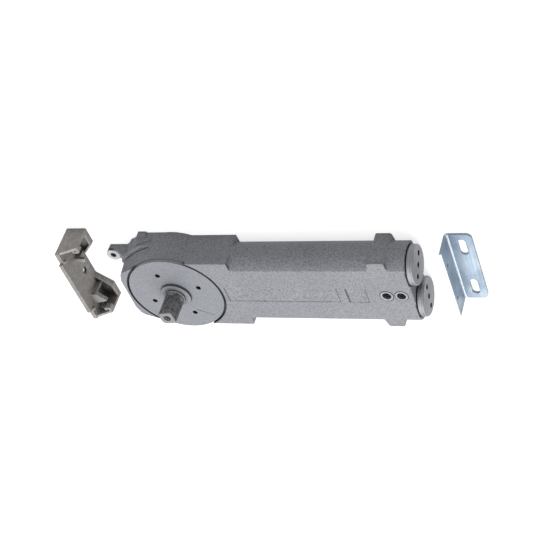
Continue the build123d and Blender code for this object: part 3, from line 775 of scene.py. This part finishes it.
def ring_path(centre: Place, axis: str, radius: float, steps: int) -> Path:
    """Circle about an axis: centre + radius (cos t, sin t), with its radial and axial directions.

    Args:
        centre: the circle's centre in millimetres.
        axis: "x" or "z".
        radius: the circle's radius.
        steps: how many points it has.

    Returns:
        Points, outward directions and axial directions, one row a step.
    """
    turn = np.linspace(0.0, 2.0 * np.pi, steps, endpoint=False)
    zero = np.zeros_like(turn)
    if axis == "z":
        outward = np.stack((np.cos(turn), np.sin(turn), zero), axis=-1)
        axial = np.broadcast_to((0.0, 0.0, 1.0), outward.shape)
    else:
        outward = np.stack((zero, np.cos(turn), np.sin(turn)), axis=-1)
        axial = np.broadcast_to((1.0, 0.0, 0.0), outward.shape)
    return np.array(centre) + radius * outward, outward, axial


def carry(profile: np.ndarray, origins: np.ndarray, first: np.ndarray,
          second: np.ndarray) -> np.ndarray:
    """Carry a flat profile along a path: origin + p first + q second at each step.

    Args:
        profile: points (p, q), one row each.
        origins: the path's points.
        first: direction of p at each step.
        second: direction of q at each step.

    Returns:
        Grid of points, path by profile.
    """
    p = profile[None, :, 0, None]
    q = profile[None, :, 1, None]
    return origins[:, None, :] + p * first[:, None, :] + q * second[:, None, :]


def cove_profile(radius: float, steps: int = 9) -> np.ndarray:
    """Hollow fillet: (r - r sin t, r - r cos t) for t up to a quarter turn, its back sunk in.

    Args:
        radius: the fillet's radius.
        steps: points on the hollow curve.

    Returns:
        Profile points.
    """
    turn = np.linspace(0.0, np.pi / 2.0, steps)
    curve = np.stack((radius - radius * np.sin(turn), radius - radius * np.cos(turn)), axis=-1)
    back = np.array(((-SINK, radius), (-SINK, -SINK), (radius, -SINK)))
    return np.concatenate((curve, back))


def bead_profile(width: float, height: float, steps: int = 12) -> np.ndarray:
    """Rounded lip: half an ellipse (w/2 cos t, h sin t) on a flat foot that is sunk a little."""
    turn = np.linspace(0.0, np.pi, steps)
    curve = np.stack((width / 2.0 * np.cos(turn), height * np.sin(turn)), axis=-1)
    foot = np.array(((-width / 2.0, -SINK), (width / 2.0, -SINK)))
    return np.concatenate((curve, foot))


@dataclass
class TappedHole:
    """Thread in a hole, closed behind by a plain tube.

    Its radius is wall - crest (1 - |2 frac(z / pitch - t / turn) - 1|), less at the mouth.
    """

    centre: Place
    axis: str
    wall: float
    pitch: float
    depth: float
    crest: float
    lead_start: float = 0.15
    tube_wall: float = 0.03
    turn_steps: int = 56
    steps_a_pitch: int = 8

    def points(self) -> np.ndarray:
        """Work out the grid: angle by place along the hole, inner face down and outer face back up.

        Returns:
            Grid of points in millimetres.
        """
        rows = int(self.depth / self.pitch * self.steps_a_pitch) + 1
        along = np.linspace(0.0, -self.depth, rows)
        origins, outward, axial = ring_path(self.centre, self.axis, 0.0, self.turn_steps)
        angle = np.linspace(0.0, 1.0, self.turn_steps, endpoint=False)
        wave = (along[None, :] / self.pitch - angle[:, None]) % 1.0
        lead = np.clip(-along / self.pitch, self.lead_start, 1.0)
        inner = self.wall - self.crest * (1.0 - np.abs(2.0 * wave - 1.0)) * lead
        outer = np.full_like(inner, self.wall + self.tube_wall)
        radius = np.concatenate((inner, outer[:, ::-1]), axis=1)
        height = np.concatenate((along, along[::-1]))
        rings = origins[:, None, :] + radius[:, :, None] * outward[:, None, :]
        return rings + height[None, :, None] * axial[:, None, :]


class SubAssembly:
    """Steps that all sub-assemblies share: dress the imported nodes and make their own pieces."""

    def finishes(self) -> dict[str, Finish]:
        """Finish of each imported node, by node name."""
        return {}

    def pieces(self) -> list[Piece]:
        """New pieces of this sub-assembly."""
        return []

    def build(self, shop: "Shop") -> None:
        """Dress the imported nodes, then make the pieces, with the shop's materials."""
        for name, finish in self.finishes().items():
            shop.dress(name, finish)
        for piece in self.pieces():
            piece.make(shop.material(piece.finish))


class Shop:
    """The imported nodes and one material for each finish."""

    def __init__(self, nodes: dict[str, bpy.types.Object]) -> None:
        """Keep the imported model's objects by node name, and build the shared effects."""
        self.nodes = nodes
        self.effects = Effects()
        self.made: dict[str, bpy.types.Material] = {}

    def material(self, finish: Finish) -> bpy.types.Material:
        """Material of a finish, built the first time."""
        if finish.name not in self.made:
            self.made[finish.name] = finish.build(self.effects)
        return self.made[finish.name]

    def dress(self, name: str, finish: Finish) -> None:
        """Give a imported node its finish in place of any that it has."""
        item = self.nodes[name]
        item.data.materials.clear()
        item.data.materials.append(self.material(finish))
        log.info("%s wears %s", name, finish.name)


# Painted shade: near black in the groove round the cover disc, and a lighter dark grey on the ledge
# under the disc where it reaches past the box's side.
COVER_GROOVE_SHADE = (
    Ring(inner=44.8, outer=47.1, below=FACE + 0.3, above=31.4),
    Slab(centre=(0.0, 44.5, 32.0), half=(21.0, 2.6, 1.2), strength=0.75, colour=(0.24, 0.25, 0.27)))

# Machined face of the screw lug, with painted shade in its hole and on its shadowed side.
LUG_ZONES = (
    Ring(inner=2.7, outer=6.8, below=8.0, above=6.8, axis=LUG_AXIS, strength=0.8,
         colour=PALE_METAL),
    Ring(inner=-1.0, outer=2.9, below=6.6, above=-1.0, axis=LUG_AXIS),
    Ring(inner=6.4, outer=8.0, below=6.9, above=5.2, axis=LUG_AXIS))

# Painted shade beside the side tab and the box's end, where they slant in to the tube.
SLANT_SHADE = (
    Slab(centre=(206.4, 37.0, 33.6), half=(0.6, 2.8, 1.4)),
    Slab(centre=(63.2, 36.8, 33.4), half=(0.6, 4.0, 1.6)))

# Slanting bead on the head: painted shadow below it, a painted highlight on its crest and painted
# shadow behind it.
BEAD_TILT = 9.3
BEAD_ZONES = (
    Slab(centre=(-32.0, 40.0, 18.3), half=(15.0, 14.0, 1.0), tilt=BEAD_TILT, strength=0.66),
    Slab(centre=(-32.0, 40.0, 16.5), half=(15.0, 14.0, 0.6), tilt=BEAD_TILT, strength=0.55,
         colour=(0.66, 0.67, 0.69)),
    Slab(centre=(-26.0, 42.0, 10.6), half=(10.0, 12.0, 0.8), tilt=BEAD_TILT, strength=0.50))

# Painted shade at the ends of the two fields in the face: place along x, half width and strength of
# each.
FIELD_ENDS = ((50.3, 0.75, 0.55), (155.3, 0.75, 0.50), (163.8, 0.95, 0.75), (181.4, 0.75, 0.50))
FIELD_ZONES = tuple(Slab(centre=(x, 0.0, FACE - 0.2), half=(half, 9.2, 0.9), strength=strength)
                    for x, half, strength in FIELD_ENDS)

# Painted shade on the housing's end face in the gap round each cap.
CAP_GAP_SHADE = Ring(inner=15.0, outer=18.8, below=222.2, above=221.0, axis=CAP_AXES)
SILVER_PAINT = Casting(
    "housing_paint", (0.385, 0.398, 0.434), (0.180, 0.187, 0.207), (0.56, 0.57, 0.60),
    (0.030, 0.031, 0.034), roughness=0.46,
    zones=(*COVER_GROOVE_SHADE, CAP_GAP_SHADE, *LUG_ZONES, *SLANT_SHADE, *BEAD_ZONES, *FIELD_ZONES))
# Cover paint: its zones lay painted shade in the spanner holes, on the boss wall and on the cover's
# rim in the groove.
COVER_PAINT = Casting(
    "cover_paint", (0.345, 0.357, 0.394), (0.240, 0.249, 0.276), (0.56, 0.57, 0.60),
    (0.028, 0.029, 0.032), roughness=0.44, fine=1400.0, depth=0.04, edge=0.4,
    zones=(Ring(inner=24.0, outer=30.0, below=FACE - 0.1, above=31.0),
           Ring(inner=14.2, outer=14.8, below=37.0, above=FACE - 0.1, strength=0.75),
           Ring(inner=44.5, outer=45.2, below=FACE + 0.3, above=34.25)))
# Bracket casting: painted shade darkens its hollows over a long reach and fills its screw hole.
BRACKET_IRON = Casting(
    "bracket_casting", (0.420, 0.398, 0.378), (0.275, 0.259, 0.245), (0.66, 0.64, 0.61),
    (0.010, 0.010, 0.009), roughness=0.48, fine=900.0, coarse=240.0, coarse_share=0.45,
    clouding=0.22, depth=0.09, edge=0.9, wear_and_highlight=0.8, reach=18.0, shade_share=0.86, shade_start=0.32,
    shade_full=0.78, metallic=0.2,
    zones=(Ring(inner=-1.0, outer=3.3, below=PAST_ALL, axis=BRACKET_HOLE_AXIS),))
DARK_STEEL = Machined(
    "dark_steel", (0.245, 0.244, 0.252), (0.050, 0.049, 0.052), (0.26, 0.26, 0.275), 0.40,
    Marks.ALONG_X, metallic=0.6, bare_and_highlight_above=62.3, ground_below=41.2, edge=0.45, patch=400.0,
    clouding=0.75)
HOLE_STEEL = Machined(
    "hole_steel", (0.22, 0.22, 0.225), (0.12, 0.12, 0.125), (0.34, 0.34, 0.35), 0.36, Marks.ALONG_Z,
    metallic=0.8)
# Near-black thread steel, as painted shade in the caps' centre holes.
SHADED_BORE_STEEL = Machined(
    "shaded_bore_steel", (0.05, 0.05, 0.052), (0.025, 0.025, 0.026), (0.12, 0.12, 0.125), 0.45,
    Marks.TURNED_CAPS, metallic=0.6)
# Cap steel: its zones lay painted shade on the neck in the gap to the housing and inside the holes
# in its face.
CAP_STEEL = Machined(
    "cap_steel", (0.285, 0.292, 0.312), (0.225, 0.231, 0.248), (0.66, 0.67, 0.69), 0.36,
    Marks.TURNED_CAPS, metallic=0.7, depth=0.03,
    zones=(Ring(inner=-1.0, outer=17.3, below=223.1, axis=CAP_AXES),
           Ring(inner=-1.0, outer=13.0, below=227.98, axis=CAP_AXES)))
# Near-black steel of the regulating screws, as painted shade deep in the valve holes; the passage
# plug wears it too.
SHADED_VALVE_STEEL = Machined(
    "valve_steel", (0.035, 0.035, 0.036), (0.006, 0.006, 0.006), (0.40, 0.39, 0.37), 0.40,
    Marks.ALONG_X, metallic=0.8, patch=700.0, clouding=0.9, reach=3.0)
COLLAR_STEEL = Machined(
    "collar_steel", (0.33, 0.34, 0.37), (0.25, 0.26, 0.28), (0.60, 0.61, 0.63), 0.38, Marks.ALONG_Y,
    metallic=0.5)
GROUND_STEEL = Machined(
    "ground_steel", (0.50, 0.50, 0.52), (0.36, 0.36, 0.38), (0.62, 0.62, 0.64), 0.26, Marks.ALONG_X)
SPRING_WIRE = Machined(
    "spring_wire", (0.20, 0.20, 0.21), (0.11, 0.11, 0.115), (0.36, 0.36, 0.37), 0.34, Marks.ALONG_X)
BRONZE = Machined(
    "bronze", (0.52, 0.35, 0.16), (0.38, 0.24, 0.10), (0.66, 0.48, 0.26), 0.30,
    Marks.TURNED_SPINDLE)
# Zinc sheet: painted highlights on the web's top edge above 23.3 mm and along the bend.
ZINC = Machined(
    "zinc_sheet", (0.385, 0.465, 0.535), (0.195, 0.258, 0.345), (0.60, 0.67, 0.73), 0.32,
    Marks.ALONG_Y, metallic=0.45, depth=0.015, edge=0.9, patch=40.0, clouding=0.8, shade_share=0.35,
    bare_and_highlight_above=23.3,
    zones=(Ring(inner=-1.0, outer=1.45, below=PAST_ALL, axis=BEND_LINE, strength=0.6,
                colour=(0.92, 0.96, 1.0)),))
BLACK_RUBBER = Moulded("black_rubber", (0.020, 0.020, 0.020), (0.045, 0.045, 0.046), 0.60)
SEAL_RUBBER = Moulded("seal_rubber", (0.230, 0.232, 0.240), (0.30, 0.302, 0.31), 0.50)
RING_PLASTIC = Moulded("ring_plastic", (0.62, 0.58, 0.48), (0.72, 0.69, 0.60), 0.45)


class Body(SubAssembly):
    """Cast housing with its passage plug."""

    def finishes(self) -> dict[str, Finish]:
        """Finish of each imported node, by node name."""
        return {"housing": SILVER_PAINT, "passage_plug": SHADED_VALVE_STEEL}


@dataclass
class Cover(SubAssembly):
    """Screwed cover disc, its sealing ring and the soft root of its boss."""

    boss_radius: float = 14.5
    root_radius: float = 0.3
    steps: int = 120

    def finishes(self) -> dict[str, Finish]:
        """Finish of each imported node, by node name."""
        return {"chamber_cover": COVER_PAINT, "cover_o_ring": BLACK_RUBBER}

    def pieces(self) -> list[Piece]:
        """Fillet at the foot of the boss, carried round the spindle's axis."""
        path = ring_path((0.0, 0.0, FACE), "z", self.boss_radius, self.steps)
        points = carry(cove_profile(self.root_radius), *path)
        return [Piece("boss_root_fillet", points, "housing", "cover_paint", COVER_PAINT)]


@dataclass
class Spindle(SubAssembly):
    """Spindle with its bearings, its lip seal and the thread in its end."""

    thread_top: float = 61.5
    thread_radius: float = 3.36
    thread_pitch: float = 1.25
    thread_depth: float = 11.0
    thread_crest: float = 0.45
    seal_top: float = 36.9
    lip_radius: float = 10.5
    lip_width: float = 1.3
    lip_height: float = 0.25
    steps: int = 96

    def finishes(self) -> dict[str, Finish]:
        """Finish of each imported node, by node name."""
        return {"spindle": DARK_STEEL, "thrust_washer": BRONZE, "lower_bush": BRONZE,
                "upper_bush": BRONZE, "spindle_seal": SEAL_RUBBER}

    def pieces(self) -> list[Piece]:
        """Thread in the end hole, and the raised lip on the seal."""
        thread = TappedHole((0.0, 0.0, self.thread_top), "z", self.thread_radius, self.thread_pitch,
                            self.thread_depth, self.thread_crest)
        path = ring_path((0.0, 0.0, self.seal_top), "z", self.lip_radius, self.steps)
        lip = carry(bead_profile(self.lip_width, self.lip_height), *path)
        return [Piece("spindle_end_thread", thread.points(), "spindle", "spindle_steel",
                      HOLE_STEEL),
                Piece("seal_lip", lip, "housing", "seal_rubber", SEAL_RUBBER)]


class Pistons(SubAssembly):
    """Both rack pistons with their rings, check valves, springs and washers."""

    def finishes(self) -> dict[str, Finish]:
        """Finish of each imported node, by node name."""
        worn = {}
        for side in ("a", "b"):
            worn[f"rack_piston_{side}"] = GROUND_STEEL
            worn[f"piston_ring_{side}"] = RING_PLASTIC
            worn[f"check_ball_{side}"] = GROUND_STEEL
            worn[f"check_retainer_{side}"] = BRONZE
            worn[f"closing_spring_{side}"] = SPRING_WIRE
        worn["spring_washers"] = GROUND_STEEL
        return worn


@dataclass
class Caps(SubAssembly):
    """Both end caps with their sealing rings and centre threads."""

    thread_top: float = 227.35
    thread_radius: float = 2.06
    thread_pitch: float = 0.8
    thread_depth: float = 6.0
    thread_crest: float = 0.35

    def finishes(self) -> dict[str, Finish]:
        """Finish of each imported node, by node name."""
        return {"end_cap_a": CAP_STEEL, "end_cap_b": CAP_STEEL, "cap_o_rings": BLACK_RUBBER}

    def pieces(self) -> list[Piece]:
        """Thread in the centre hole of each cap."""
        made = []
        for label, side in (("a", 1.0), ("b", -1.0)):
            centre = (self.thread_top, side * BORE_OFFSET, BORE_HEIGHT)
            thread = TappedHole(centre, "x", self.thread_radius, self.thread_pitch,
                                self.thread_depth, self.thread_crest)
            name = f"cap_thread_{label}"
            made.append(Piece(name, thread.points(), "housing", "cap_steel", SHADED_BORE_STEEL))
        return made


class Valves(SubAssembly):
    """Regulating screws with their rings and collars."""

    def finishes(self) -> dict[str, Finish]:
        """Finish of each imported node, by node name."""
        return {"closing_valve_screw": SHADED_VALVE_STEEL, "latching_valve_screw": SHADED_VALVE_STEEL,
                "closing_valve_o_ring": BLACK_RUBBER, "latching_valve_o_ring": BLACK_RUBBER,
                "valve_collars": COLLAR_STEEL}


@dataclass
class Brackets(SubAssembly):
    """Cast bracket beside the head and folded bracket beside the caps."""

    wall_face: float = -100.6
    middle_y: float = 6.0
    half_length: float = 45.9
    end_wall: float = 2.6
    floor: float = 1.5
    root_radius: float = 1.6
    wall_top: float = 30.0

    def finishes(self) -> dict[str, Finish]:
        """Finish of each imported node, by node name."""
        return {"cast_bracket": BRACKET_IRON, "angle_bracket": ZINC}

    def pieces(self) -> list[Piece]:
        """Upright fillets in the two corners where the end walls meet the long wall."""
        made = []
        for label, side in (("near", 1.0), ("far", -1.0)):
            y = self.middle_y + side * (self.half_length - self.end_wall)
            heights = np.array((self.floor, self.wall_top / 2.0, self.wall_top))
            across = np.full_like(heights, self.wall_face)
            origins = np.stack((across, np.full_like(heights, y), heights), axis=-1)
            first = np.broadcast_to((1.0, 0.0, 0.0), origins.shape)
            second = np.broadcast_to((0.0, -side, 0.0), origins.shape)
            points = carry(cove_profile(self.root_radius), origins, first, second)
            name = f"bracket_corner_{label}"
            made.append(Piece(name, points, "housing", "bracket_casting", BRACKET_IRON,
                              round_path=False))
        return made


@dataclass(frozen=True)
class Lamp:
    """Soft square lamp: its name, its place and side in metres and its power in watts."""

    name: str
    place: Place
    size: float
    power: float

    def hang(self, aim: Place) -> None:
        """Hang the lamp so that it points at a place, in metres."""
        data = bpy.data.lights.new(self.name, "AREA")
        data.size = self.size
        data.energy = self.power
        item = new_item(self.name, data)
        item.location = self.place
        item.rotation_euler = (Vector(aim) - Vector(self.place)).to_track_quat("-Z", "Y").to_euler()


@dataclass
class Studio:
    """Floor, light and camera."""

    sensor: float = 36.0
    lens: float = 90.476
    place_mm: Place = (570.59283, 854.60542, 742.05151)
    right: Place = (0.9195184946691242, -0.29752896164153025, -0.25683117985544596)
    up: Place = (-0.0017098570254180856, 0.6504025227078553, -0.7595878058817228)
    back: Place = (0.39304301844757394, 0.6988941804306071, 0.5975484166240004)
    clip: tuple[float, float] = (0.01, 50.0)
    floor_half: float = 3.0
    floor_level: float = -0.0002
    floor_tone: float = 0.50
    floor_glow: float = 0.76
    world_level: float = 0.30
    aim: Place = (0.08, 0.0, 0.02)
    lamps: tuple[Lamp, ...] = (Lamp("key_lamp", (0.35, -0.90, 1.55), 2.2, 34.0),
                               Lamp("top_lamp", (0.05, 0.45, 1.60), 0.9, 4.0))

    def camera(self) -> None:
        """Set the camera where the photograph was taken."""
        data = bpy.data.cameras.new("photo_camera")
        data.sensor_width = self.sensor
        data.lens = self.lens
        data.clip_start, data.clip_end = self.clip
        item = new_item("photo_camera", data)
        turn = Matrix((self.right, self.up, self.back)).transposed().to_4x4()
        item.matrix_world = Matrix.Translation(Vector(self.place_mm) * MM) @ turn
        bpy.context.scene.camera = item

    def seen(self, graph: Graph) -> Socket:
        """1 where the camera, a reflection or a clear piece looks at the surface, else 0."""
        path = graph.node("ShaderNodeLightPath")
        either = graph.math("MAXIMUM", path.outputs["Is Camera Ray"], path.outputs["Is Glossy Ray"])
        return graph.math("MAXIMUM", either, path.outputs["Is Transmission Ray"])

    def floor(self) -> None:
        """Lay the pale floor, which shows white and keeps the shadow."""
        turns = ((-1.0, -1.0), (1.0, -1.0), (1.0, 1.0), (-1.0, 1.0))
        corners = [(x * self.floor_half, y * self.floor_half, self.floor_level) for x, y in turns]
        mesh = bpy.data.meshes.new("floor")
        mesh.from_pydata(corners, [], [(0, 1, 2, 3)])
        item = new_item("floor", mesh)
        material, graph, shader = start_material("floor_white")
        shader.inputs["Base Color"].default_value = (*[self.floor_tone] * 3, 1.0)
        shader.inputs["Roughness"].default_value = 1.0
        shader.inputs["Specular IOR Level"].default_value = 0.0
        shader.inputs["Emission Color"].default_value = WHITE
        glow = graph.math("MULTIPLY", self.seen(graph), self.floor_glow)
        graph.link(glow, shader.inputs["Emission Strength"])
        mesh.materials.append(material)

    def world(self) -> None:
        """Light from all round, white where it is seen."""
        world = bpy.data.worlds.new("studio")
        bpy.context.scene.world = world
        world.use_nodes = True
        graph = Graph(world.node_tree)
        shade = world.node_tree.nodes["Background"]
        shade.inputs["Color"].default_value = WHITE
        glow = graph.math("MULTIPLY", self.seen(graph), 1.0 - self.world_level)
        graph.link(graph.math("ADD", glow, self.world_level), shade.inputs["Strength"])

    def build(self) -> None:
        """Set the camera, floor, world and lamps."""
        bpy.context.scene.view_settings.view_transform = "Standard"
        self.camera()
        self.floor()
        self.world()
        for lamp in self.lamps:
            lamp.hang(self.aim)


def main() -> None:
    """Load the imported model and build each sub-assembly on it."""
    logging.basicConfig(level=logging.INFO, format="%(message)s")
    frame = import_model()
    shop = Shop(frame["nodes"])
    for part in (Body(), Cover(), Spindle(), Pistons(), Caps(), Valves(), Brackets()):
        log.info("building %s", type(part).__name__)
        part.build(shop)
    Studio().build()


if __name__ == "__main__":
    main()
